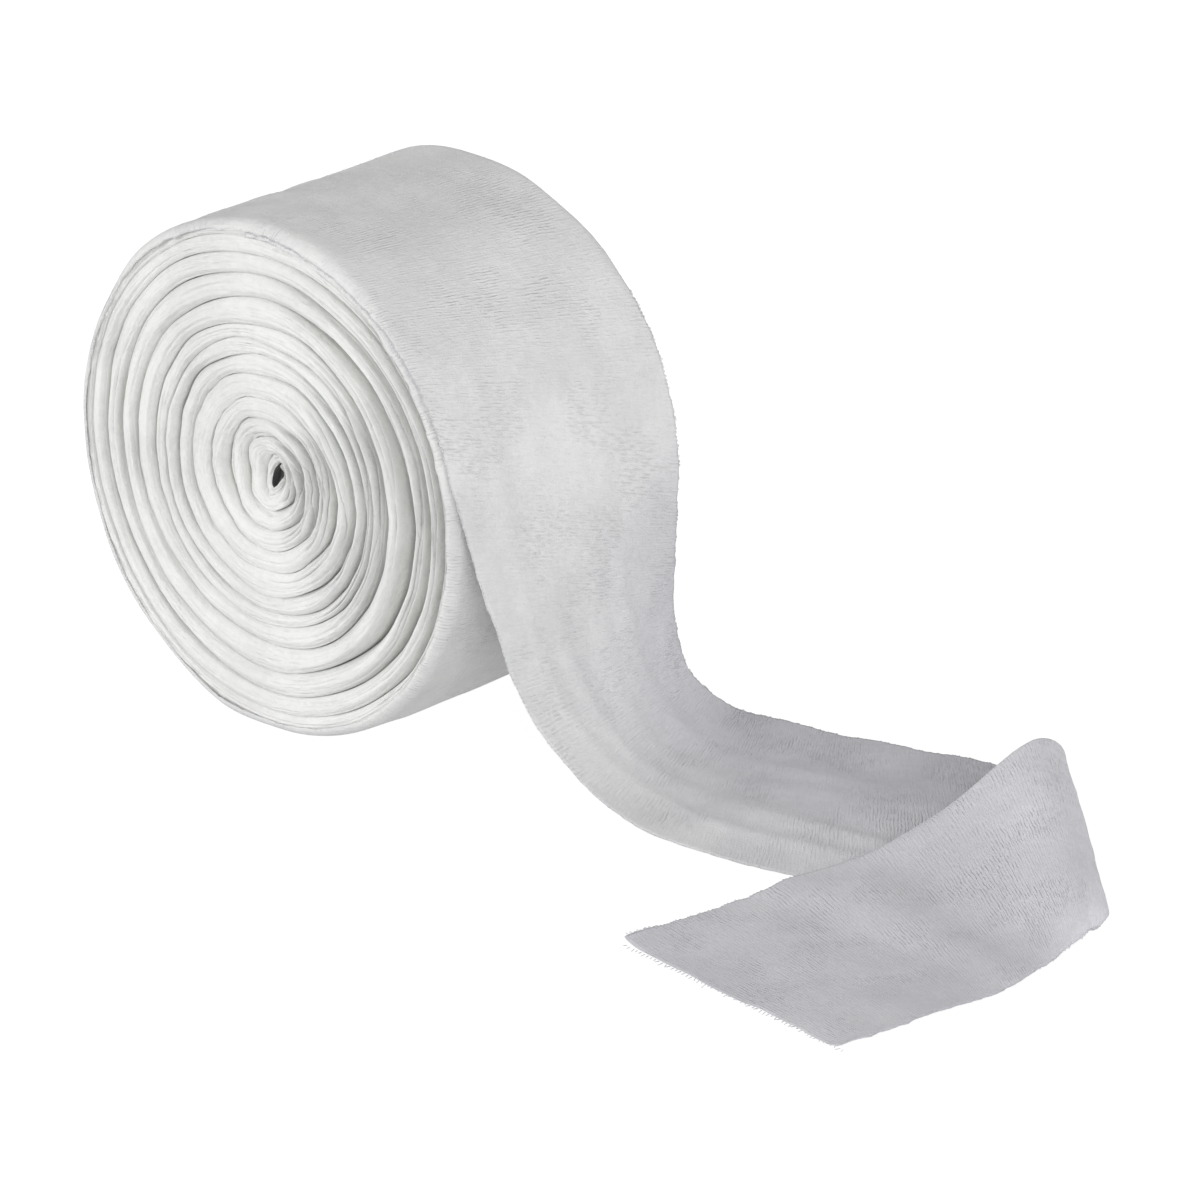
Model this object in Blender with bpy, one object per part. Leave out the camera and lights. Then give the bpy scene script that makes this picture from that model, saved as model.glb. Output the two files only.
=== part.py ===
"""A roll of wide gauze standing on its rim, with its loose end run out on the floor.

Units are metres. The roll's axis lies along Y, the loose end runs out towards +X,
and the floor is z = 0. The origin is the middle of the roll's pressed flat bottom.
One strip is wound up from the eye outwards; its last stretch leaves the roll over
the top, drops in front of it, turns a corner in a soft diagonal fold and ends in a cut.
"""
import math

import bpy
from mathutils import Vector

# Driving sizes
WIDTH = 0.100            # the strip, edge to edge
RADIUS = 0.0865          # the wound roll where the last turn ends
WALL = 0.0012            # one layer of soft gauze
GAP = 0.00035            # air between two pieces
SAG = 0.0018             # how far the roll has settled into its own bottom
ROOT_ANGLE = 95.0        # degrees above +X, where the loose end begins on the roll
RELIEF = 0.0022          # deepest groove between two turns on an end face
EYE_STRETCH_SHARE = 1.5  # the eye is pressed into a slot: stretch along it
EYE_SQUEEZE_SHARE = 0.42 # and squeeze across it
EYE_SLANT = 62.0         # degrees above +X
EYE_REACH_SHARE = 0.17   # share of the radius that the squeeze dies out over
SLIP = 0.0013            # how far the middle turns have slipped towards -X
STEPS = 56               # points on one turn

AXIS_HEIGHT = RADIUS - SAG
LAST_PITCH = WALL + GAP

# The wound turns, from the eye outwards: where each starts as a share of RADIUS,
# how deep its groove is as a share of RELIEF, and how far its crest stands back likewise.
TURN_COLUMNS = ("start", "groove", "stand_back")
TURNS = (
    (0.040, 0.9, 0.70),
    (0.087, 0.9, 0.55),
    (0.162, 0.9, 0.40),
    (0.240, 0.7, 0.30),
    (0.310, 0.6, 0.15),
    (0.410, 1.0, 0.10),
    (0.488, 0.7, 0.20),
    (0.541, 0.7, 0.15),
    (0.590, 0.8, 0.10),
    (0.699, 1.0, 0.05),
    (0.795, 0.9, 0.15),
    (0.876, 0.7, 0.05),
    (0.940, 0.8, 0.25),
    (1.0 - LAST_PITCH / RADIUS, 0.8, 0.45),
    (1.0, 0.7, 0.45),
)

# Lines across the loose end on the floor, in shares of WIDTH: the middle of each,
# the slant of the line in degrees from +Y, and the way that the strip is going in degrees from +X.
STATION_COLUMNS = ("name", "x", "y", "slant", "heading")
STATIONS = (
    ("landing", 1.374, 0.186, 32.8, 6.0),
    ("fold", 2.474, 0.492, 50.6, 13.0),
    ("cut_end", 2.550, -1.030, 83.6, -86.0),
)

# What differs from the near edge to the far edge of the loose end, lengths in shares of WIDTH
EDGE_COLUMNS = ("name", "near", "far")
EDGES = (
    ("leaves_roll_at", 24.0, 4.0),      # degrees above level
    ("reach_from_roll", 0.345, 0.440),   # how long it keeps the roll's direction
    ("reach_to_floor", 0.745, 0.489),    # how long it sweeps into the floor
    ("fold_radius", 0.070, 0.117),
    ("fold_exit", -74.0, -86.0),         # degrees from +X
    ("fold_slopes_down", 0.334, 0.747),  # length over which the fold comes down
)
FOLD_DRIFT_SHARE = 0.68        # how far the fold slips along its own crease
LAP_EDGE_SHARES = (-0.26, -0.46)   # y in shares of WIDTH where the return steps down off the run

LINES_ACROSS = 9
STRETCHES = (("wrap", 14), ("drop", 20), ("run", 9), ("fold", 14), ("back", 26))


def clear_scene():
    for thing in list(bpy.data.objects):
        bpy.data.objects.remove(thing, do_unlink=True)


def mix(a, b, share):
    return a * (1.0 - share) + b * share


def smooth(share):
    share = min(max(share, 0.0), 1.0)
    return share * share * (3.0 - 2.0 * share)


def heading_vector(degrees):
    angle = math.radians(degrees)
    return Vector((math.cos(angle), math.sin(angle), 0.0))


def gauze_material(name, colour):
    material = bpy.data.materials.new(name)
    material.use_nodes = True
    shader = material.node_tree.nodes["Principled BSDF"]
    shader.inputs["Base Color"].default_value = (*colour, 1.0)
    shader.inputs["Roughness"].default_value = 0.95
    material.diffuse_color = (*colour, 1.0)
    return material


def add_object(name, points, faces, material):
    mesh = bpy.data.meshes.new(name)
    mesh.from_pydata(points, [], faces)
    mesh.materials.append(material)
    mesh.polygons.foreach_set("use_smooth", [True] * len(mesh.polygons))
    mesh.set_sharp_from_angle(angle=math.radians(50.0))
    mesh.update()
    result = bpy.data.objects.new(name, mesh)
    bpy.context.scene.collection.objects.link(result)
    return result


# The wound roll

def turn_value(turns, column):
    """A column of TURNS at any number of turns, straight between its rows."""
    index = TURN_COLUMNS.index(column)
    row = min(int(turns), len(TURNS) - 2)
    return mix(TURNS[row][index], TURNS[row + 1][index], turns - row)


def spiral_radius(turns):
    last = len(TURNS) - 1
    if turns > last - 1:
        return RADIUS + (turns - last) * LAST_PITCH
    return RADIUS * turn_value(turns, "start")


def spiral_angle(turns):
    """Outwards along the strip the angle falls: the roll pays out over its top towards +X."""
    return math.radians(ROOT_ANGLE) - math.tau * (turns - (len(TURNS) - 1))


def on_roll(radius, angle, y):
    """A point of the roll, with the eye pressed into a slot and the bottom pressed flat."""
    slant = math.radians(EYE_SLANT)
    press = 1.0 - smooth(radius / (RADIUS * EYE_REACH_SHARE))
    along = radius * math.cos(angle - slant) * mix(1.0, EYE_STRETCH_SHARE, press)
    across = radius * math.sin(angle - slant) * mix(1.0, EYE_SQUEEZE_SHARE, press)
    slip = SLIP * math.sin(math.pi * min(radius / RADIUS, 1.0))
    x = along * math.cos(slant) - across * math.sin(slant) - slip
    z = AXIS_HEIGHT + along * math.sin(slant) + across * math.cos(slant)
    return Vector((x, y, max(z, 0.0)))


def build_wound_roll():
    turn_count = len(TURNS) - 1
    groove_points = turn_count * STEPS + 1
    crest_points = (turn_count - 1) * STEPS + 1
    points = []
    start = {}
    for side in (-1, 1):
        start[side, "groove"] = len(points)
        for step in range(groove_points):
            turns = step / STEPS
            depth = RELIEF * turn_value(turns, "groove")
            y = side * (WIDTH / 2 - depth)
            points.append(on_roll(spiral_radius(turns), spiral_angle(turns), y))
        start[side, "crest"] = len(points)
        for step in range(crest_points):
            turns = step / STEPS
            radius = (spiral_radius(turns) + spiral_radius(turns + 1)) / 2
            back = RELIEF * turn_value(turns, "stand_back")
            points.append(on_roll(radius, spiral_angle(turns), side * (WIDTH / 2 - back)))

    def ring(side, kind, step):
        return start[side, kind] + step

    faces = []

    def face(side, corners):
        faces.append(corners if side < 0 else corners[::-1])

    for side in (-1, 1):
        for step in range(crest_points - 1):
            inner = [ring(side, "groove", step + k) for k in (0, 1)]
            crest = [ring(side, "crest", step + k) for k in (0, 1)]
            outer = [ring(side, "groove", step + STEPS + k) for k in (0, 1)]
            face(side, (inner[0], inner[1], crest[1], crest[0]))
            face(side, (crest[0], crest[1], outer[1], outer[0]))
    last = (turn_count - 1) * STEPS
    for first, outward in ((0, False), (last, True)):
        for step in range(first, first + STEPS):
            wall = (ring(-1, "groove", step), ring(1, "groove", step),
                    ring(1, "groove", step + 1), ring(-1, "groove", step + 1))
            faces.append(wall[::-1] if outward else wall)
    for step, outward in ((0, False), (last, True)):
        rows = ("groove", step), ("crest", step), ("groove", step + STEPS)
        for (kind_a, a), (kind_b, b) in zip(rows, rows[1:]):
            end = (ring(-1, kind_a, a), ring(-1, kind_b, b), ring(1, kind_b, b), ring(1, kind_a, a))
            faces.append(end[::-1] if outward else end)
    return add_object("wound_roll", points, faces, gauze_material("roll_gauze", (0.80, 0.80, 0.78)))


# The loose tail

def station(name):
    """The near and far end of a line across the strip on the floor, and the strip's direction."""
    x, y, slant, heading = next(row[1:] for row in STATIONS if row[0] == name)
    across = heading_vector(slant + 90.0)
    square = heading_vector(heading + 90.0)
    half = across * (WIDTH / 2 / abs(across.dot(square)))
    middle = Vector((x, y, 0.0)) * WIDTH
    return middle - half, middle + half, heading_vector(heading)


def edge_value(name, far_share):
    near, far = next(row[1:] for row in EDGES if row[0] == name)
    return mix(near, far, far_share)


def bezier(a, b, c, d, count):
    curve = []
    for k in range(1, count + 1):
        t = k / count
        s = 1.0 - t
        curve.append(a * s ** 3 + b * (3 * s * s * t) + c * (3 * s * t * t) + d * t ** 3)
    return curve


def hermite(a, b, way_a, way_b, count):
    reach = (b - a).length / 3.0
    return bezier(a, a + way_a * reach, b - way_b * reach, b, count)


def tail_line(across):
    """The middle of the cloth along one lengthwise line: across is -1 at the near edge, 1 at the far."""
    count = dict(STRETCHES)
    far_share = (across + 1.0) / 2.0
    y = across * WIDTH / 2
    lying = Vector((0.0, 0.0, WALL / 2))

    leave = math.radians(edge_value("leaves_roll_at", far_share))
    root = math.radians(ROOT_ANGLE)
    line = []
    for k in range(count["wrap"] + 1):
        angle = mix(root, leave, k / count["wrap"])
        if k == 0:
            angle -= GAP / RADIUS
        radius = RADIUS + LAST_PITCH * (root - angle) / math.tau - WALL / 2
        line.append(Vector((radius * math.cos(angle), y, AXIS_HEIGHT + radius * math.sin(angle))))

    near, far, way = station("landing")
    landing = near.lerp(far, far_share) + lying
    off = Vector((math.sin(leave), 0.0, -math.cos(leave))) * (edge_value("reach_from_roll", far_share) * WIDTH)
    into = way * (edge_value("reach_to_floor", far_share) * WIDTH)
    line += bezier(line[-1], line[-1] + off, landing - into, landing, count["drop"])

    fold_near, fold_far, fold_way = station("fold")
    fold = fold_near.lerp(fold_far, far_share) + lying
    run = hermite(landing, fold, way, fold_way, count["run"])
    line += run

    crease = (fold_near - fold_far).normalized()
    outward = Vector((-crease.y, crease.x, 0.0))
    radius = edge_value("fold_radius", far_share) * WIDTH
    for k in range(1, count["fold"] + 1):
        turn = math.pi * k / count["fold"]
        line.append(fold + crease * (FOLD_DRIFT_SHARE * radius * turn) + outward * (radius * math.sin(turn))
                    + Vector((0.0, 0.0, radius * (1.0 - math.cos(turn)))))

    top = line[-1]
    x, y, slant, heading = next(row[1:] for row in STATIONS if row[0] == "cut_end")
    cut_line = heading_vector(slant + 90.0)
    half = cut_line * (across * WIDTH / 2 / abs(cut_line.dot(heading_vector(heading + 90.0))))
    end = Vector((x, y, 0.0)) * WIDTH + half
    flat_top = Vector((top.x, top.y, 0.0))
    back = hermite(flat_top, end, heading_vector(edge_value("fold_exit", far_share)),
                   heading_vector(heading), count["back"])
    slope = edge_value("fold_slopes_down", far_share) * WIDTH
    gone = 0.0
    before = flat_top
    for spot in back:
        gone += (spot - before).length
        before = spot
        lap = smooth((spot.y / WIDTH - LAP_EDGE_SHARES[1]) / (LAP_EDGE_SHARES[0] - LAP_EDGE_SHARES[1]))
        rest = WALL / 2 + (WALL + 2 * GAP) * lap
        fall = 0.5 * (1.0 + math.cos(math.pi * min(gone / slope, 1.0)))
        line.append(Vector((spot.x, spot.y, rest + (top.z - rest) * fall)))
    return line


def build_loose_tail():
    lines = [tail_line(2.0 * k / (LINES_ACROSS - 1) - 1.0) for k in range(LINES_ACROSS)]
    length = len(lines[0])
    points = []
    for side in (1, -1):
        for row in range(length):
            for column in range(LINES_ACROSS):
                ahead = lines[column][min(row + 1, length - 1)] - lines[column][max(row - 1, 0)]
                across = lines[min(column + 1, LINES_ACROSS - 1)][row] - lines[max(column - 1, 0)][row]
                normal = ahead.cross(across).normalized()
                points.append(lines[column][row] + normal * (side * WALL / 2))
    below = length * LINES_ACROSS

    def spot(row, column):
        return row * LINES_ACROSS + column

    faces = []
    for row in range(length - 1):
        for column in range(LINES_ACROSS - 1):
            a = spot(row, column)
            b = spot(row + 1, column)
            c = spot(row + 1, column + 1)
            d = spot(row, column + 1)
            faces.append((a, b, c, d))
            faces.append((d + below, c + below, b + below, a + below))
    rim = [spot(row, 0) for row in range(length)]
    rim += [spot(length - 1, column) for column in range(1, LINES_ACROSS)]
    rim += [spot(row, LINES_ACROSS - 1) for row in range(length - 2, -1, -1)]
    rim += [spot(0, column) for column in range(LINES_ACROSS - 2, 0, -1)]
    for a, b in zip(rim, rim[1:] + rim[:1]):
        faces.append((b, a, a + below, b + below))
    return add_object("loose_tail", points, faces, gauze_material("tail_gauze", (0.76, 0.76, 0.78)))


def main():
    clear_scene()
    build_wound_roll()
    build_loose_tail()


main()
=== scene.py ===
"""A roll of wide gauze with its loose end run out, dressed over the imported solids.

Units are metres, in the part's own frame: the roll's axis along Y, the loose end
towards +X, the floor at z = 0. The strip is one cloth, from under the last turn,
round the roll, down to the floor, through its fold and to its cut end.
"""
import math

import bpy
import numpy as np
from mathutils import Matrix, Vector


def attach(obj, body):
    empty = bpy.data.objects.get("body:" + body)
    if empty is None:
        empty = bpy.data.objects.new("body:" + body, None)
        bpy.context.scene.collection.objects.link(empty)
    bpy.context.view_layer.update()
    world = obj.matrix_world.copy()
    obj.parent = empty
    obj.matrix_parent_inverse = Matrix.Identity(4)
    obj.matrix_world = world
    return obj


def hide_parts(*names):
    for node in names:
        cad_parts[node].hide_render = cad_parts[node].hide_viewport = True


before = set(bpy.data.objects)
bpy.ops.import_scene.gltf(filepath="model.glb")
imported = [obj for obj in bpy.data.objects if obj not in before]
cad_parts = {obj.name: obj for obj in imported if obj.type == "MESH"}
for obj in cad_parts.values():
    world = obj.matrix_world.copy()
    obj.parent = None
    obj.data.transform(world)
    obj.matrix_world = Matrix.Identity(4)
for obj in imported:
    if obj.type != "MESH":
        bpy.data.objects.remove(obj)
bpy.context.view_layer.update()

# Sizes shared with the solids, apart from EYE_REACH, which is shorter for a tighter eye
WIDTH = 0.100
RADIUS = 0.0865
WALL = 0.0012
GAP = 0.00035
SAG = 0.0018
ROOT_ANGLE = 95.0
EYE_STRETCH = 1.5
EYE_SQUEEZE = 0.42
EYE_SLANT = 62.0
EYE_REACH = 0.13
SLIP = 0.0013
AXIS_HEIGHT = RADIUS - SAG
LAST_PITCH = WALL + GAP

# The wound turns, one more at the eye than in the solids: start as a share of RADIUS,
# how open the groove is, how far the turn stands back
TURNS = (
    (0.033, 0.4, 0.75),
    (0.040, 0.7, 0.70),
    (0.087, 0.9, 0.55),
    (0.162, 0.9, 0.40),
    (0.240, 0.7, 0.30),
    (0.310, 0.6, 0.15),
    (0.410, 1.0, 0.10),
    (0.488, 0.7, 0.20),
    (0.541, 0.7, 0.15),
    (0.590, 0.8, 0.10),
    (0.699, 1.0, 0.05),
    (0.795, 0.9, 0.15),
    (0.876, 0.7, 0.05),
    (0.940, 0.8, 0.25),
    (1.0 - LAST_PITCH / RADIUS, 0.8, 0.45),
    (1.0, 0.7, 0.45),
)
LAST = len(TURNS) - 1

# Lines across the strip on the floor: middle in shares of WIDTH, slant from +Y, heading from +X
STATIONS = {
    "landing": (1.374, 0.186, 32.8, 6.0),
    "fold": (2.474, 0.492, 50.6, 13.0),
    "cut_end": (2.550, -1.030, 83.6, -86.0),
}

# Near and far edge values of the loose end, lengths in shares of WIDTH
EDGES = {
    "leaves_roll_at": (24.0, 4.0),
    "reach_from_roll": (0.345, 0.440),
    "reach_to_floor": (0.745, 0.489),
    "fold_radius": (0.070, 0.117),
    "fold_exit": (-74.0, -86.0),
    "fold_slopes_down": (0.334, 0.747),
}
FOLD_DRIFT_SHARE = 0.68
LAP_EDGE_SHARES = (-0.26, -0.46)

# Fineness
ROWS = {"turn": 300, "wrap": 60, "drop": 84, "run": 70, "fold": 40, "back": 96}
LINES_ACROSS = 61
FACE_STEPS = 190
FACE_PROFILE = 34
THREAD_PITCH = 0.0012
BODY_STEPS = 144
TUBE_SIDES = 4
HAIR_COUNT = 5200
CUT_THREAD_COUNT = 60

# Fine lines along a rope of the end face: seed, place across the rope from 0 to 1, depth
LAYER_LINES = (
    (81, 0.16, 0.0007),
    (82, 0.31, 0.0011),
    (83, 0.46, 0.0008),
    (84, 0.60, 0.0011),
    (85, 0.76, 0.0009),
)

# Pleats along the loose end: seed, place across from -1 to 1, height, breadth
PLEATS = (
    (5, -0.62, 0.0007, 0.07),
    (6, -0.30, 0.0008, 0.08),
    (7, 0.05, 0.0006, 0.09),
    (8, 0.38, 0.0008, 0.08),
)

# How far each wound turn, from the eye out, stands back on the tail's side
SET_BACK = (
    0.0, 0.0, 0.0, 0.0004, 0.0006, 0.0014, 0.0022, 0.0017,
    0.0008, 0.0, 0.0024, 0.0015, 0.0011, 0.0004, 0.0,
)

# The strip's rolled-over edge on the roll: how round it is and how far it turns
SHOULDER = 0.0045
SHOULDER_TURN = math.radians(70.0)

# Thickness of the cloth, of a thread at its edges and of a hair
CLOTH = 0.0007
THREAD = 0.00028
HAIR = 0.00007

# How far in from the end face a rope's flanks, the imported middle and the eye's wall lie
FLANK_DEPTH = 0.0100
BODY_DEPTH = 0.0085
EYE_WALL_DEPTH = 0.0058

# The painted shade of the loose end, darker and cooler where it hangs and lies free of the roll: where the
# painted shade starts and ends, its shade, and where it folds, around which it is painted lighter
FREE_TAIL_PAINTED_SHADE = (0.64, 0.86, (0.850, 0.848, 0.850), 0.935)
FREE_TAIL_PAINTED_TINT = (0.99, 0.98, 1.035, 1.0)
# Painted shade in the grooves between the ropes of the end faces and around the eye
GROOVE_PAINTED_SHADE = (0.74, 0.745, 0.73)

# Stage: the sky's strength and the way that it brightens, then name, place, size, power, colour
SKY = 0.765
SKY_TILT = (0.28, -0.34, -0.30)
LIGHTS = (
    ("key", (-1.9, -2.2, 0.7), 0.8, 31.0, (1.0, 0.995, 0.98)),
    ("fill", (2.4, -1.2, 0.5), 1.4, 14.0, (0.99, 1.0, 0.98)),
    ("back", (2.2, 1.6, 0.9), 1.2, 8.0, (0.98, 0.97, 1.0)),
)
LIGHTS_AIM = (0.06, 0.0, 0.06)
FLOOR_REACH = 12.0
FLOOR_DROP = 0.0004


def mix(a, b, share):
    return a * (1.0 - share) + b * share


def smooth(share):
    share = np.clip(share, 0.0, 1.0)
    return share * share * (3.0 - 2.0 * share)


def heading_vector(degrees):
    angle = math.radians(degrees)
    return np.array([math.cos(angle), math.sin(angle), 0.0])


def unit(vectors):
    return vectors / np.maximum(np.linalg.norm(vectors, axis=-1, keepdims=True), 1e-12)


def wander(seed, grain, a, b=0.0, waves=18):
    """Smooth noise of about -1 to 1 over one or two lengths, with features of the size of grain."""
    draw = np.random.default_rng(seed)
    total = 0.0
    for _ in range(waves):
        angle = draw.uniform(0.0, math.tau)
        rate = math.tau / grain * draw.uniform(0.5, 1.3)
        phase = draw.uniform(0.0, math.tau)
        total = total + np.sin(rate * (math.cos(angle) * a + math.sin(angle) * b) + phase)
    return total / math.sqrt(waves * 0.5) * 0.55


def turn_value(turns, column):
    rows = np.arange(len(TURNS))
    return np.interp(turns, rows, [row[column] for row in TURNS])


def spiral_radius(turns):
    shifts = (-0.45, -0.27, -0.09, 0.09, 0.27, 0.45)
    inner = RADIUS * sum(turn_value(np.maximum(turns + shift, 0.0), 0) for shift in shifts) / len(shifts)
    return np.where(turns > LAST - 1, RADIUS + (turns - LAST) * LAST_PITCH, inner)


def spiral_angle(turns):
    return math.radians(ROOT_ANGLE) - math.tau * (turns - LAST)


def on_roll(radius, angle, y):
    slant = math.radians(EYE_SLANT)
    press = 1.0 - smooth(radius / (RADIUS * EYE_REACH))
    along = radius * np.cos(angle - slant) * mix(1.0, EYE_STRETCH, press)
    across = radius * np.sin(angle - slant) * mix(1.0, EYE_SQUEEZE, press)
    slip = SLIP * np.sin(math.pi * np.minimum(radius / RADIUS, 1.0))
    x = along * math.cos(slant) - across * math.sin(slant) - slip
    z = AXIS_HEIGHT + along * math.sin(slant) + across * math.cos(slant)
    return np.stack(np.broadcast_arrays(x, y, np.maximum(z, 0.0)), axis=-1)


def add_mesh(name, points, quads, material, maps=()):
    """A mesh from arrays: maps holds (name, values) with a pair of values for each point."""
    mesh = bpy.data.meshes.new(name)
    mesh.vertices.add(len(points))
    mesh.vertices.foreach_set("co", np.ascontiguousarray(points, dtype=np.float32).ravel())
    mesh.loops.add(quads.size)
    mesh.loops.foreach_set("vertex_index", np.ascontiguousarray(quads, dtype=np.int32).ravel())
    mesh.polygons.add(len(quads))
    mesh.polygons.foreach_set("loop_start", np.arange(0, quads.size, quads.shape[1], dtype=np.int32))
    mesh.polygons.foreach_set("use_smooth", np.ones(len(quads), dtype=bool))
    mesh.update(calc_edges=True)
    for map_name, values in maps:
        layer = mesh.uv_layers.new(name=map_name)
        layer.data.foreach_set("uv", np.asarray(values, dtype=np.float32)[quads.ravel()].ravel())
    mesh.validate()
    mesh.materials.append(material)
    piece = bpy.data.objects.new(name, mesh)
    bpy.context.scene.collection.objects.link(piece)
    return piece


def grid_quads(rows, columns, first=0):
    row, column = np.meshgrid(np.arange(rows - 1), np.arange(columns - 1), indexing="ij")
    a = first + row.ravel() * columns + column.ravel()
    return np.stack([a, a + columns, a + columns + 1, a + 1], axis=1)


# Materials

class Nodes:
    """Short ways to add and join shader nodes."""

    def __init__(self, name):
        self.material = bpy.data.materials.new(name)
        self.material.use_nodes = True
        self.tree = self.material.node_tree
        self.shader = self.tree.nodes["Principled BSDF"]

    def add(self, kind, **values):
        node = self.tree.nodes.new(kind)
        for key, value in values.items():
            setattr(node, key, value)
        return node

    def join(self, source, target):
        self.tree.links.new(source, target)

    def feed(self, socket, value):
        if isinstance(value, bpy.types.NodeSocket):
            self.join(value, socket)
        else:
            socket.default_value = value

    def math(self, operation, a, b=0.0, c=0.0):
        node = self.add("ShaderNodeMath", operation=operation)
        for socket, value in zip(node.inputs, (a, b, c)):
            self.feed(socket, value)
        return node.outputs[0]

    def noise(self, place, scale, detail=2.0, rough=0.5):
        node = self.add("ShaderNodeTexNoise")
        self.join(place, node.inputs["Vector"])
        node.inputs["Scale"].default_value = scale
        node.inputs["Detail"].default_value = detail
        node.inputs["Roughness"].default_value = rough
        return node.outputs["Fac"]

    def stretched(self, across, along, across_rate, along_rate):
        node = self.add("ShaderNodeCombineXYZ")
        self.feed(node.inputs[0], self.math("MULTIPLY", across, across_rate))
        self.feed(node.inputs[1], self.math("MULTIPLY", along, along_rate))
        return node.outputs[0]

    def spread(self, value, low, high, to_low=0.0, to_high=1.0):
        node = self.add("ShaderNodeMapRange", interpolation_type="SMOOTHSTEP")
        for socket, number in zip(node.inputs, (value, low, high, to_low, to_high)):
            self.feed(socket, number)
        return node.outputs[0]

    def blend(self, share, a, b):
        node = self.add("ShaderNodeMix", data_type="RGBA")
        self.feed(node.inputs[0], share)
        self.feed(node.inputs[6], a)
        self.feed(node.inputs[7], b)
        return node.outputs[2]

    def dim(self, share, colour, shade):
        node = self.add("ShaderNodeMix", data_type="RGBA", blend_type="MULTIPLY")
        self.feed(node.inputs[0], share)
        self.feed(node.inputs[6], colour)
        self.feed(node.inputs[7], shade)
        return node.outputs[2]


def cloth_material(name, light, dark, thread=1.0, painted_tail_shade=None, painted_groove_shade=None):
    """Soft gauze: crosswise threads in ladders, a fuzz over them and slow changes of tone, with painted
    shade on the free tail and in the grooves of the end faces where asked.
    """
    n = Nodes(name)
    n.shader.inputs["Roughness"].default_value = 0.95
    n.shader.inputs["Specular IOR Level"].default_value = 0.15
    n.shader.inputs["Sheen Weight"].default_value = 0.25
    n.shader.inputs["Sheen Roughness"].default_value = 0.6
    place = n.add("ShaderNodeTexCoord").outputs["Object"]
    cloth_map = n.add("ShaderNodeUVMap", uv_map="cloth").outputs["UV"]
    parts = n.add("ShaderNodeSeparateXYZ")
    n.join(cloth_map, parts.inputs[0])
    across, along = parts.outputs[0], parts.outputs[1]
    drift = n.noise(place, 160.0)
    shifted = n.math("MULTIPLY_ADD", drift, THREAD_PITCH * 1.1, along)
    rungs = n.math("SINE", n.math("MULTIPLY", shifted, math.tau / THREAD_PITCH))
    patch = n.spread(n.noise(place, 45.0), 0.44, 0.62, 0.22, 1.0)
    torn = n.spread(n.noise(n.stretched(across, along, 330.0, 900.0), 1.0, 2.0), 0.42, 0.60)
    crosswise = n.noise(n.stretched(across, along, 170.0, 1500.0), 1.0, 3.0, 0.6)
    lengthwise = n.noise(n.stretched(across, along, 1400.0, 210.0), 1.0, 2.0, 0.6)
    fuzz = n.noise(place, 1500.0, 3.0, 0.7)
    lint = n.noise(place, 420.0, 2.0, 0.6)
    ladder = n.math("MULTIPLY", n.math("MULTIPLY", rungs, n.math("MULTIPLY", patch, torn)), thread)
    height = n.math("MULTIPLY_ADD", crosswise, 1.6, n.math("MULTIPLY", ladder, 0.70))
    height = n.math("MULTIPLY_ADD", lengthwise, 0.8, height)
    height = n.math("MULTIPLY_ADD", fuzz, 1.0, height)
    height = n.math("MULTIPLY_ADD", lint, 0.9, height)
    bump = n.add("ShaderNodeBump")
    bump.inputs["Strength"].default_value = 0.8
    bump.inputs["Distance"].default_value = 0.00030
    n.join(height, bump.inputs["Height"])
    n.join(bump.outputs[0], n.shader.inputs["Normal"])
    tone = n.spread(n.noise(place, 26.0, 4.0, 0.6), 0.3, 0.7)
    tone = n.math("MULTIPLY_ADD", ladder, 0.55, tone)
    tone = n.math("MULTIPLY_ADD", n.math("SUBTRACT", crosswise, 0.5), 1.3, tone)
    tone = n.math("MULTIPLY_ADD", n.math("SUBTRACT", lint, 0.5), 0.9, tone)
    colour = n.blend(n.spread(tone, -0.2, 1.2), (*dark, 1.0), (*light, 1.0))
    # Painted shade: the free part of the tail is coloured darker and cooler than the part on the roll,
    # with a painted lighter patch around the fold
    if painted_tail_shade:
        begin, end, shade, fold = painted_tail_shade
        rising = n.spread(along, fold - 0.035, fold)
        falling = n.spread(along, fold + 0.01, fold + 0.05, 0.8, 0.0)
        fold_painted_light = n.math("MULTIPLY", rising, falling)
        share = n.spread(n.math("MULTIPLY_ADD", across, 1.6, along), begin, end)
        painted_shade_share = n.math("MULTIPLY", share, n.math("SUBTRACT", 1.0, fold_painted_light))
        colour = n.dim(painted_shade_share, colour, (*shade, 1.0))
        colour = n.dim(share, colour, FREE_TAIL_PAINTED_TINT)
    # Painted shade, darker in the grooves between the ropes and around the eye, read from the groove map
    if painted_groove_shade:
        groove = n.add("ShaderNodeSeparateXYZ")
        n.join(n.add("ShaderNodeUVMap", uv_map="groove").outputs["UV"], groove.inputs[0])
        colour = n.dim(groove.outputs[0], colour, (*painted_groove_shade, 1.0))
    n.join(colour, n.shader.inputs["Base Color"])
    return n.material


def thread_material(name, colour):
    """Single bleached threads and hairs, a little uneven in tone."""
    n = Nodes(name)
    n.shader.inputs["Roughness"].default_value = 0.9
    n.shader.inputs["Specular IOR Level"].default_value = 0.2
    n.shader.inputs["Sheen Weight"].default_value = 0.2
    place = n.add("ShaderNodeTexCoord").outputs["Object"]
    tone = n.spread(n.noise(place, 900.0), 0.3, 0.7, 0.88, 1.0)
    n.join(n.dim(1.0, (*colour, 1.0), tone), n.shader.inputs["Base Color"])
    return n.material


# The strip

def station(name):
    x, y, slant, heading = STATIONS[name]
    across = heading_vector(slant + 90.0)
    half = across * (WIDTH / 2 / abs(across @ heading_vector(heading + 90.0)))
    middle = np.array([x, y, 0.0]) * WIDTH
    return middle - half, middle + half, heading_vector(heading)


def edge_value(name, far_share):
    return mix(*EDGES[name], far_share)


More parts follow.
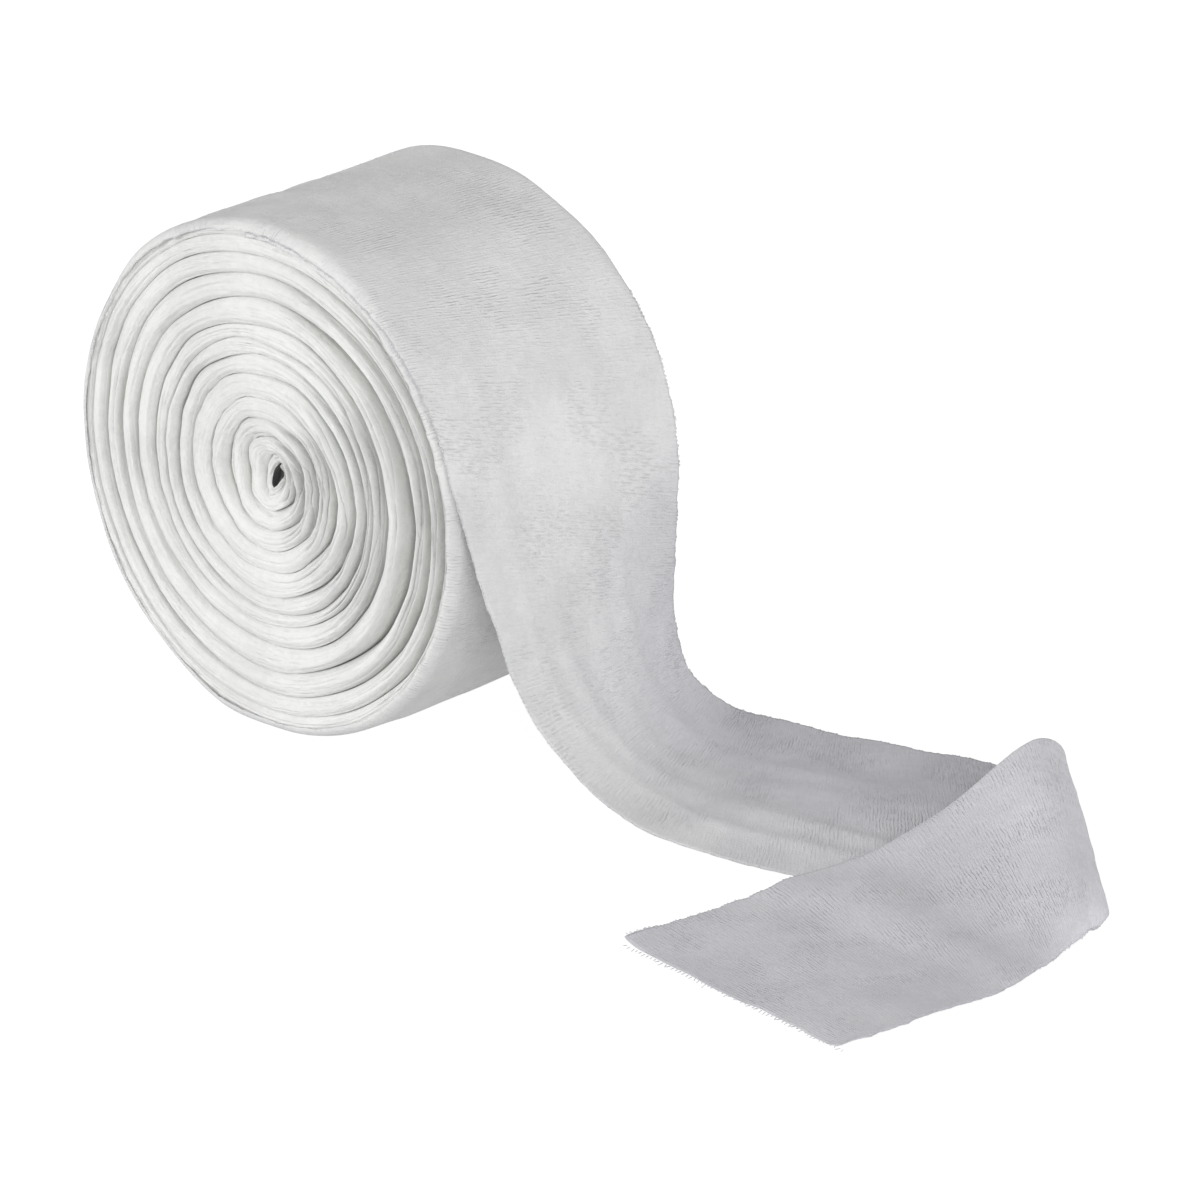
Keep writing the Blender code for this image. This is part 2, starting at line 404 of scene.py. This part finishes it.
def bezier(a, b, c, d, count):
    t = np.arange(1, count + 1)[:, None] / count
    s = 1.0 - t
    return a * s ** 3 + b * (3 * s * s * t) + c * (3 * s * t * t) + d * t ** 3


def hermite(a, b, way_a, way_b, count):
    reach = np.linalg.norm(b - a) / 3.0
    return bezier(a, a + way_a * reach, b - way_b * reach, b, count)


def strip_line(across):
    """The middle of the cloth along one lengthwise line, from under the last turn to the cut."""
    far_share = (across + 1.0) / 2.0
    y = across * WIDTH / 2
    lying = np.array([0.0, 0.0, WALL / 2])

    leave = math.radians(edge_value("leaves_roll_at", far_share))
    root = math.radians(ROOT_ANGLE)
    turns = np.linspace(LAST - 1.0, LAST, ROWS["turn"] + 1)
    wrap = LAST + np.arange(1, ROWS["wrap"] + 1) / ROWS["wrap"] * (root - leave) / math.tau
    turns = np.concatenate([turns, wrap])
    from_edge = (1.0 - abs(across)) * WIDTH / 2
    arc = SHOULDER * SHOULDER_TURN
    curl = max(arc - from_edge, 0.0) / SHOULDER
    flat_end = WIDTH / 2 - CLOTH / 2 - SHOULDER * math.sin(SHOULDER_TURN)
    rounded = min(abs(y), WIDTH / 2 - arc) * flat_end / (WIDTH / 2 - arc) + SHOULDER * math.sin(curl)
    held = 1.0 - smooth((turns - LAST - 0.06) / 0.14)
    radius = spiral_radius(turns) - WALL / 2 - SHOULDER * (1.0 - math.cos(curl)) * held
    side = mix(y, math.copysign(rounded, y), held)
    line = on_roll(radius, spiral_angle(turns), side)

    near, far, way = station("landing")
    landing = mix(near, far, far_share) + lying
    down = np.array([math.sin(leave), 0.0, -math.cos(leave)])
    off = down * (edge_value("reach_from_roll", far_share) * WIDTH)
    into = way * (edge_value("reach_to_floor", far_share) * WIDTH)
    drop = bezier(line[-1], line[-1] + off, landing - into, landing, ROWS["drop"])

    fold_near, fold_far, fold_way = station("fold")
    fold = mix(fold_near, fold_far, far_share) + lying
    run = hermite(landing, fold, way, fold_way, ROWS["run"])

    crease = unit(fold_near - fold_far)
    outward = np.array([-crease[1], crease[0], 0.0])
    radius = edge_value("fold_radius", far_share) * WIDTH
    bend = math.pi * np.arange(1, ROWS["fold"] + 1)[:, None] / ROWS["fold"]
    by_near = max(1.0 - far_share / 0.16, 0.0) ** 1.5
    by_far = max(1.0 - (1.0 - far_share) / 0.07, 0.0) ** 2
    by_corner = max(1.0 - far_share / 0.05, 0.0) ** 2
    reach = radius * (1.0 + 0.10 * by_near - 0.45 * by_corner - 0.30 * by_far)
    height = radius * (1.0 - 0.42 * by_near - 0.12 * by_corner - 0.30 * by_far)
    loop = (fold + crease * (FOLD_DRIFT_SHARE * radius * bend) + outward * (reach * np.sin(bend))
            + np.array([0.0, 0.0, 1.0]) * (height * (1.0 - np.cos(bend))))

    top = loop[-1]
    x, y, slant, heading = STATIONS["cut_end"]
    cut_line = heading_vector(slant + 90.0)
    half = cut_line * (across * WIDTH / 2 / abs(cut_line @ heading_vector(heading + 90.0)))
    end = np.array([x, y, 0.0]) * WIDTH + half
    flat_top = top * [1.0, 1.0, 0.0]
    back = hermite(flat_top, end, heading_vector(edge_value("fold_exit", far_share)),
                   heading_vector(heading), ROWS["back"])
    gone = np.cumsum(np.linalg.norm(np.diff(np.vstack([flat_top, back]), axis=0), axis=1))
    lap = smooth((back[:, 1] / WIDTH - LAP_EDGE_SHARES[1]) / (LAP_EDGE_SHARES[0] - LAP_EDGE_SHARES[1]))
    rest = WALL / 2 + (WALL + 2 * GAP) * lap
    slope = edge_value("fold_slopes_down", far_share) * WIDTH
    fall = 0.5 * (1.0 + np.cos(math.pi * np.minimum(gone / slope, 1.0)))
    back[:, 2] = rest + (top[2] - rest) * fall
    return np.vstack([line, drop, run, loop, back])


def stretch_start(name):
    """The row of the strip where a stretch begins."""
    row = 0
    for key, count in ROWS.items():
        if key == name:
            return row
        row += count
    return row


def lines_across():
    """Places from edge to edge, -1 to 1, closer together near both edges."""
    even = np.linspace(-1.0, 1.0, LINES_ACROSS)
    inward = 1.0 - np.abs(even)
    return np.sign(even) * (1.0 - 0.55 * inward - 0.45 * inward ** 2.2)


def build_strip(material):
    across = lines_across()
    middle = np.stack([strip_line(a) for a in across], axis=1)
    rows = len(middle)
    steps = np.linalg.norm(np.diff(middle, axis=0), axis=2).mean(axis=1)
    along = np.concatenate([[0.0], np.cumsum(steps)])[:, None]
    width = (across * WIDTH / 2)[None, :]

    ahead = np.gradient(middle, axis=0)
    sideways = np.gradient(middle, axis=1)
    normal = unit(np.cross(ahead, sideways))

    # pleats along the strip, waves where it hangs and lies, and an uneven edge
    row = np.arange(rows)[:, None]
    free = smooth((row - stretch_start("drop")) / 60.0)
    lying = smooth((row - stretch_start("run") + 20) / 30.0)
    lift = 0.00022 * wander(3, 0.022, along, width) + 0.00035 * wander(4, 0.060, along, width)
    bent = smooth((row - stretch_start("drop") + 30) / 50.0)
    bent = bent * (1.0 - smooth((row - stretch_start("run") - 20) / 50.0))
    for seed, place, tall, broad in PLEATS:
        path = place + 0.10 * wander(seed, 0.16, along)
        ridge = np.exp(-((across[None, :] - path) / broad) ** 2)
        lift = lift + tall * (0.32 + bent) * ridge * (0.7 + 0.3 * wander(seed + 9, 0.1, along))
    lift = lift + free * (1.0 - lying) * 0.0006 * wander(21, 0.05, along, width)
    lift = lift + lying * (0.0005 + 0.0005 * wander(22, 0.045, along, width))
    lift = lift + 0.0020 * np.abs(across)[None, :] ** 14 * smooth((row - rows + 14) / 13.0)
    lift = np.where(lying > 0.5, np.maximum(lift, 0.00005), lift)
    edge = np.abs(across)[None, :] ** 8 * np.sign(across)[None, :]
    coarse = 0.00032 * wander(31, 0.011, along, width * 4)
    fine = 0.00022 * wander(32, 0.0035, along, width * 4)
    ragged = edge * (coarse + fine)
    upward = np.where(lying > 0.5, np.where(normal[..., 2] < 0.0, -1.0, 1.0), 1.0)
    middle = middle + normal * (lift * upward)[..., None] + unit(sideways) * ragged[..., None]
    # no cloth under the floor, also where the roll is pressed flat
    middle[..., 2] = np.maximum(middle[..., 2], CLOTH / 2)

    ahead = np.gradient(middle, axis=0)
    sideways = np.gradient(middle, axis=1)
    normal = unit(np.cross(ahead, sideways))
    half = (CLOTH / 2 * (1.0 - 0.75 * smooth((row - rows + 7) / 6.0)))[..., None]
    outer = middle + normal * half
    inner = middle - normal * half
    points = np.concatenate([outer.reshape(-1, 3), inner.reshape(-1, 3)])
    size = rows * LINES_ACROSS
    quads = [grid_quads(rows, LINES_ACROSS), grid_quads(rows, LINES_ACROSS, size)[:, ::-1]]
    spot = np.arange(size).reshape(rows, LINES_ACROSS)
    rim = np.concatenate([spot[:, 0], spot[-1, 1:], spot[-2::-1, -1], spot[0, -2:0:-1]])
    nxt = np.roll(rim, -1)
    quads.append(np.stack([nxt, rim, rim + size, nxt + size], axis=1))
    cloth = np.stack(np.broadcast_arrays(width, along), axis=-1).reshape(-1, 2)
    maps = [("cloth", np.tile(cloth, (2, 1)))]
    piece = add_mesh("gauze_strip", points, np.concatenate(quads), material, maps)
    return piece, middle, float(along[-1, 0])


# The wound turns

def turn_wobble(turns, angle, radius):
    """How far a boundary between turns strays from the even spiral, less towards eye and rim."""
    broad = 0.0007 * wander(50, 1.1, turns, np.cos(angle) * 1.3)
    small = 0.0003 * wander(51, 0.5, turns, np.sin(angle) * 2.0)
    stray = broad + small
    return stray * smooth((1.0 - radius / RADIUS) / 0.10) * smooth(radius / RADIUS / 0.45)


def build_turns(name, side, material):
    """One end face: each turn a soft rounded rope, with a real gap between it and the next."""
    steps = (LAST - 1) * FACE_STEPS
    turns = (np.arange(steps + 1) / FACE_STEPS)[:, None]
    even = np.arange(FACE_PROFILE + 1)[None, :] / FACE_PROFILE
    share = mix(even, 0.5 * (1.0 - np.cos(math.pi * even)), 0.55)
    angle = spiral_angle(turns)
    inner = spiral_radius(turns)
    outer = spiral_radius(turns + 1.0)
    inner = inner + turn_wobble(turns, angle, inner)
    outer = outer + turn_wobble(turns + 1.0, angle, outer)
    layer = RADIUS - LAST_PITCH * (1.0 - turns % 1.0)
    limit = layer - SHOULDER * (1.0 - math.cos(SHOULDER_TURN)) + CLOTH
    inner = np.minimum(inner, limit)
    outer = np.minimum(outer, limit)

    # gaps open at the sides of the roll, most on the tail's side, and its weight presses the others shut
    aside = np.cos(angle - math.radians(8.0))
    tail_side = np.maximum(aside, 0.0) ** 1.2
    opening = tail_side + 0.62 * np.maximum(-aside, 0.0) ** 1.6
    uneven = 0.14 * wander(60 + side, 0.9, turns, np.sin(angle))
    opening = np.clip(0.12 + 0.85 * opening + uneven, 0.04, 1.1)
    strength = turn_value(turns, 1)
    soft_eye = mix(0.35, 1.0, smooth(inner / (RADIUS * 0.12)))
    width = np.maximum(outer - inner, 0.00002)
    gap = np.minimum((0.00022 + 0.00055 * tail_side ** 2) * opening ** 1.5 * strength ** 2, width * 0.3)
    radius = inner + gap + (width - 2 * gap) * share
    by_rim = smooth((radius - limit + 0.0060) / 0.0050)
    depth = (0.0066 + 0.0022 * tail_side) * opening * strength ** 2 + 0.0005
    depth = depth * soft_eye * (1.0 - 0.8 * by_rim)

    # each rope is a bundle of layers that stand a little in or out of line
    bow = np.sin(math.pi * share) ** 0.80
    back = 0.0024 * turn_value(turns + 0.5, 2)
    back = (back + 0.0006 * wander(70 + side, 1.3, turns, np.cos(angle + 1.0))) * (1.0 - 0.75 * by_rim)
    groove = depth * (1.0 - bow)
    for seed, place, deep in LAYER_LINES:
        line = place + 0.10 * wander(seed, 1.2, turns, np.sin(angle))
        weak = np.clip(0.50 + 0.7 * wander(seed + 7, 0.8, turns, np.cos(angle)), 0.0, 1.0)
        weak = weak * smooth(width / 0.004)
        broad = 0.00034 / np.maximum(width, 0.0015)
        cut = np.exp(-((share - line) / broad) ** 2)
        step = 0.35 * np.tanh((share - line) / broad)
        groove = groove + deep * weak * (0.3 + 0.6 * opening + 2.0 * tail_side ** 2) * cut
        back = back + deep * weak * step * wander(seed + 13, 1.0, turns, np.cos(angle))
    sunk = back + groove
    # Painted shade for the grooves and around the eye, handed to the material in the groove map
    shaded = smooth(groove / 0.0036) + 0.35 * smooth(1.0 - radius / (RADIUS * 0.07))
    which = np.minimum(np.floor(turns).astype(int), LAST - 1)
    sunk = sunk + np.array(SET_BACK)[which] * tail_side ** 1.5
    sunk = sunk + 0.0007 * by_rim
    # the eye's own turns sink towards the slot, more so on its left
    sunk = sunk + 0.0036 * smooth(1.0 - radius / (RADIUS * 0.22))
    sunk = sunk + 0.0028 * smooth(1.0 - radius / (RADIUS * 0.32)) * np.maximum(-np.cos(angle + 0.4), 0.0)
    sunk = sunk + 0.00010 * wander(90 + side, 0.0022, radius, angle * radius)

    # both flanks of every rope run on down, so no gap looks under its neighbour
    sunk[:, -1] = np.maximum(sunk[:, -1], FLANK_DEPTH)
    sunk[FACE_STEPS:, 0] = np.maximum(sunk[FACE_STEPS:, 0], FLANK_DEPTH)
    y = side * (WIDTH / 2 - np.maximum(sunk, 0.0))
    points = on_roll(radius, np.broadcast_to(angle, radius.shape), y)
    quads = grid_quads(steps + 1, FACE_PROFILE + 1)
    if side > 0:
        quads = quads[:, ::-1]
    length = np.cumsum(np.broadcast_to(inner * math.tau / FACE_STEPS, inner.shape), axis=0)
    cloth = np.stack(np.broadcast_arrays(length, radius * 0.8), axis=-1).reshape(-1, 2)
    shaded = np.stack(np.broadcast_arrays(np.clip(shaded, 0.0, 1.0), 0.0), axis=-1).reshape(-1, 2)
    maps = [("cloth", cloth), ("groove", shaded)]
    return add_mesh(name, points.reshape(-1, 3), quads, material, maps)


def build_body(cloth, shade):
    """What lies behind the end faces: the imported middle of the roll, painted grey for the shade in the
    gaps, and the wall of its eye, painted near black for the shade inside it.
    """
    around = np.linspace(0.0, math.tau, BODY_STEPS + 1)[:, None]
    back = WIDTH / 2 - BODY_DEPTH
    eye = RADIUS * TURNS[0][0] * 0.96
    full = RADIUS - 2.2 * LAST_PITCH
    lip = WIDTH / 2 - EYE_WALL_DEPTH
    rings = {
        "packed_middle": (cloth, ((eye * 2, -back), (full, -back), (full, back), (eye * 2, back))),
        "eye_wall": (shade, ((eye * 2, back), (eye, lip), (eye, -lip), (eye * 2, -back))),
    }
    pieces = []
    for name, (material, ring) in rings.items():
        radius = np.array([r for r, _ in ring])[None, :]
        y = np.array([v for _, v in ring])[None, :]
        shape = (BODY_STEPS + 1, len(ring))
        points = on_roll(np.broadcast_to(radius, shape), np.broadcast_to(around, shape), y)
        flat = np.stack(np.broadcast_arrays(around * RADIUS, y), axis=-1).reshape(-1, 2)
        quads = grid_quads(*shape)[:, ::-1]
        pieces.append(add_mesh(name, points.reshape(-1, 3), quads, material, [("cloth", flat)]))
    return pieces


# Threads

def tubes(name, routes, thickness, material):
    """Many thin threads as one mesh: routes is an array of threads, each a row of points."""
    count, length = routes.shape[:2]
    ahead = unit(np.gradient(routes, axis=1))
    spare = np.where(np.abs(ahead[..., 2:3]) < 0.9, np.array([0.0, 0.0, 1.0]), np.array([1.0, 0.0, 0.0]))
    one = unit(np.cross(ahead, spare))
    two = np.cross(ahead, one)
    sides = TUBE_SIDES
    turn = math.tau * np.arange(sides) / sides
    taper = np.ones(length)
    taper[[0, -1]] = 0.45
    ring = one[:, :, None, :] * np.cos(turn)[:, None] + two[:, :, None, :] * np.sin(turn)[:, None]
    points = routes[:, :, None, :] + ring * (thickness / 2 * taper)[None, :, None, None]
    base = (np.arange(count) * length * sides)[:, None, None]
    row = (np.arange(length - 1) * sides)[None, :, None]
    here = np.arange(sides)[None, None, :]
    after = (here + 1) % sides
    quads = np.stack(np.broadcast_arrays(base + row + here, base + row + after,
                                         base + row + after + sides, base + row + here + sides), axis=-1)
    start = base[:, 0, :] + np.arange(sides)[::-1]
    end = base[:, 0, :] + (length - 1) * sides + np.arange(sides)
    caps = [start, end]
    quads = np.concatenate([quads.reshape(-1, 4)] + caps)
    flat = points.reshape(-1, 3)
    return add_mesh(name, flat, quads, material, [("cloth", flat[:, :2])])


def build_selvedge(middle, material):
    """Small loops of the crosswise thread that stand out of both woven edges."""
    steps = np.linalg.norm(np.diff(middle, axis=0), axis=2).mean(axis=1)
    along = np.concatenate([[0.0], np.cumsum(steps)])
    begin = along[stretch_start("wrap")]
    spots = np.arange(begin, along[-1] - THREAD_PITCH, THREAD_PITCH)
    draw = np.random.default_rng(11)
    routes = []
    for column, inside in ((0, 1), (LINES_ACROSS - 1, LINES_ACROSS - 2)):
        edge = np.stack([np.interp(spots, along, middle[:, column, k]) for k in range(3)], axis=1)
        inner = np.stack([np.interp(spots, along, middle[:, inside, k]) for k in range(3)], axis=1)
        out = unit(edge - inner)
        way = unit(np.gradient(edge, axis=0))
        up = np.cross(way, out)
        up = np.where(up[:, 2:3] < 0.0, -up, up)
        reach = THREAD_PITCH * draw.uniform(0.15, 0.75, len(spots))[:, None]
        lean = THREAD_PITCH * draw.uniform(-0.3, 0.3, len(spots))[:, None]
        rise = THREAD_PITCH * draw.uniform(0.0, 0.25, len(spots))[:, None]
        bend = np.linspace(-0.5 * math.pi, 0.5 * math.pi, 6)
        away = np.cos(bend)[None, :, None]
        outward = away * (reach[:, None] + THREAD_PITCH * 0.45) - THREAD_PITCH * 0.45
        onward = np.sin(bend)[None, :, None] * THREAD_PITCH * 0.42 + away * lean[:, None]
        loop = (edge[:, None, :] + out[:, None, :] * outward + way[:, None, :] * onward
                + up[:, None, :] * (away * rise[:, None]))
        routes.append(loop)
    routes = np.concatenate(routes)
    routes[..., 2] = np.maximum(routes[..., 2], THREAD / 2)
    return tubes("selvedge_loops", routes, THREAD, material)


def build_cut_threads(middle, material):
    """Short ends of the lengthwise threads at the cut, and a few that have pulled loose."""
    draw = np.random.default_rng(12)
    end = middle[-1]
    way = unit(middle[-1] - middle[-4])
    share = np.linspace(0.002, 0.998, CUT_THREAD_COUNT)
    columns = share * 2.0 - 1.0
    at = lines_across()
    root = np.stack([np.interp(columns, at, end[:, k]) for k in range(3)], axis=1)
    out = unit(np.stack([np.interp(columns, at, way[:, k]) for k in range(3)], axis=1))
    side = unit(end[-1] - end[0])
    reach = draw.uniform(0.0002, 0.0009, len(share)) * (1.0 + 1.6 * (draw.random(len(share)) > 0.88))
    curl = draw.uniform(-0.0008, 0.0008, len(share))
    t = np.linspace(0.0, 1.0, 6)
    # each end is rooted this far inside the cloth
    rooted = 0.0012
    onward = out[:, None, :] * (reach[:, None] + rooted)[..., None] * t[:, None]
    sideways = side * (curl[:, None] * t ** 2)[..., None]
    routes = root[:, None, :] - out[:, None, :] * rooted + onward + sideways
    rise = draw.uniform(0.0, 0.0007, len(share))[:, None] * t
    routes[..., 2] = THREAD / 2 + rise + 0.0003 * (1.0 - t)
    return tubes("cut_threads", routes, THREAD, material)


def build_lint(middle, material):
    """Fine short hairs that stand off the cloth, scattered at random over the strip from the last turn to
    the cut.
    """
    draw = np.random.default_rng(13)
    first = stretch_start("wrap") - 60
    count = HAIR_COUNT
    row = draw.integers(first, len(middle) - 2, count)
    column = draw.integers(0, LINES_ACROSS - 1, count)
    shift = draw.random((count, 2, 1))
    here = middle[row, column]
    ahead = middle[row + 1, column] - here
    across = middle[row, column + 1] - here
    normal = unit(np.cross(ahead, across))
    normal = np.where(normal[:, 2:3] < -0.2, -normal, normal)
    root = here + ahead * shift[:, 0] + across * shift[:, 1] + normal * CLOTH * 0.4
    lengthwise = unit(ahead) * draw.normal(0.0, 1.0, (count, 1))
    crosswise = unit(across) * draw.normal(0.0, 1.0, (count, 1))
    lean = unit(lengthwise + crosswise)
    reach = draw.uniform(0.0005, 0.0016, (count, 1))
    stand = draw.uniform(0.05, 0.45, (count, 1))
    t = np.linspace(0.0, 1.0, 4)[None, :, None]
    outward = (normal * reach * stand)[:, None] * np.sin(t * 2.4)
    routes = root[:, None] + (lean * reach)[:, None] * t + outward
    routes[..., 2] = np.maximum(routes[..., 2], HAIR)
    return tubes("lint", routes, HAIR, material)


# Stage

def build_stage():
    n = Nodes("floor_paper")
    n.shader.inputs["Base Color"].default_value = (0.35, 0.35, 0.35, 1.0)
    n.shader.inputs["Roughness"].default_value = 1.0
    n.shader.inputs["Emission Color"].default_value = (1.0, 1.0, 1.0, 1.0)
    n.shader.inputs["Emission Strength"].default_value = 0.86
    corners = ((-1, -1, 0), (1, -1, 0), (1, 1, 0), (-1, 1, 0))
    points = np.array(corners, dtype=float) * FLOOR_REACH
    points[:, 2] = -FLOOR_DROP
    floor = add_mesh("floor", points, np.array([[0, 1, 2, 3]]), n.material)

    world = bpy.data.worlds.new("studio")
    bpy.context.scene.world = world
    world.use_nodes = True
    tree = world.node_tree
    sky = tree.nodes["Background"]
    sky.inputs[0].default_value = (1.0, 1.0, 1.0, 1.0)
    place = tree.nodes.new("ShaderNodeTexCoord")
    lean = tree.nodes.new("ShaderNodeVectorMath")
    lean.operation = "DOT_PRODUCT"
    lean.inputs[1].default_value = SKY_TILT
    glow = tree.nodes.new("ShaderNodeMath")
    glow.inputs[1].default_value = SKY
    tree.links.new(place.outputs["Generated"], lean.inputs[0])
    tree.links.new(lean.outputs["Value"], glow.inputs[0])
    parts = tree.nodes.new("ShaderNodeSeparateXYZ")
    ground = tree.nodes.new("ShaderNodeMapRange")
    for key, value in (("From Min", -0.45), ("From Max", 0.0), ("To Min", 0.42), ("To Max", 1.0)):
        ground.inputs[key].default_value = value
    both = tree.nodes.new("ShaderNodeMath")
    both.operation = "MULTIPLY"
    tree.links.new(place.outputs["Generated"], parts.inputs[0])
    tree.links.new(parts.outputs[2], ground.inputs["Value"])
    tree.links.new(glow.outputs[0], both.inputs[0])
    tree.links.new(ground.outputs[0], both.inputs[1])
    tree.links.new(both.outputs[0], sky.inputs[1])
    floor.visible_diffuse = False

    for name, spot, size, power, colour in LIGHTS:
        data = bpy.data.lights.new(name, "AREA")
        data.energy = power
        data.size = size
        data.color = colour
        lamp = bpy.data.objects.new(name, data)
        lamp.location = spot
        aim = Vector(LIGHTS_AIM) - Vector(spot)
        lamp.rotation_euler = aim.to_track_quat("-Z", "Y").to_euler()
        bpy.context.scene.collection.objects.link(lamp)


def build_camera():
    azimuth, elevation, distance = math.radians(44.0), math.radians(21.7), 3.432
    back = Vector((math.sin(azimuth) * math.cos(elevation), -math.cos(azimuth) * math.cos(elevation),
                   math.sin(elevation)))
    right = Vector((math.cos(azimuth), math.sin(azimuth), 0.0))
    up = back.cross(right)
    aim = Vector((0.0, 0.0, 0.085)) + right * 0.0721 - up * 0.0511
    data = bpy.data.cameras.new("camera")
    data.sensor_width = 36.0
    data.lens = 320.6
    data.clip_start = 0.05
    data.clip_end = 40.0
    camera = bpy.data.objects.new("camera", data)
    camera.location = aim + back * distance
    camera.rotation_euler = (-back).to_track_quat("-Z", "Y").to_euler()
    bpy.context.scene.collection.objects.link(camera)
    bpy.context.scene.camera = camera


def main():
    scene = bpy.context.scene
    scene.view_settings.view_transform = "Standard"
    # tail_cloth carries the painted shade and cool tint of the free tail
    tail_cloth = cloth_material("tail_cloth", (0.83, 0.83, 0.825), (0.73, 0.73, 0.735), painted_tail_shade=FREE_TAIL_PAINTED_SHADE)
    # roll_cloth paints shade into the grooves of the end faces
    roll_cloth = cloth_material("roll_cloth", (0.87, 0.87, 0.86), (0.77, 0.77, 0.765), thread=0.7,
                                painted_groove_shade=GROOVE_PAINTED_SHADE)
    # The packed middle is seen only through the gaps between the turns; its grey is painted shade on white
    # gauze
    painted_shade_packed_cloth = cloth_material("painted_shade_packed_cloth", (0.55, 0.55, 0.54), (0.45, 0.45, 0.45), thread=0.3)
    # The eye's wall is white gauze painted near black for the shade deep in the eye
    shaded_cloth = cloth_material("shaded_cloth", (0.025, 0.025, 0.025), (0.015, 0.015, 0.015), thread=0.3)
    strip, middle, length = build_strip(tail_cloth)
    thread = thread_material("bleached_thread", (0.78, 0.78, 0.79))
    # The edge threads are coloured like the free tail under its painted shade and cool tint
    end_thread = thread_material("edge_thread", (0.70, 0.69, 0.73))
    selvedge = build_selvedge(middle, end_thread)
    cut_threads = build_cut_threads(middle, end_thread)
    lint = build_lint(middle, thread)
    near_turns = build_turns("near_turns", -1, roll_cloth)
    far_turns = build_turns("far_turns", 1, roll_cloth)
    body = build_body(painted_shade_packed_cloth, shaded_cloth)
    for piece in (strip, selvedge, cut_threads, lint, near_turns, far_turns, *body):
        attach(piece, "root")
    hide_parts("loose_tail")
    for piece in (near_turns, far_turns, *body):
        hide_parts("wound_roll")
    build_stage()
    build_camera()


main()
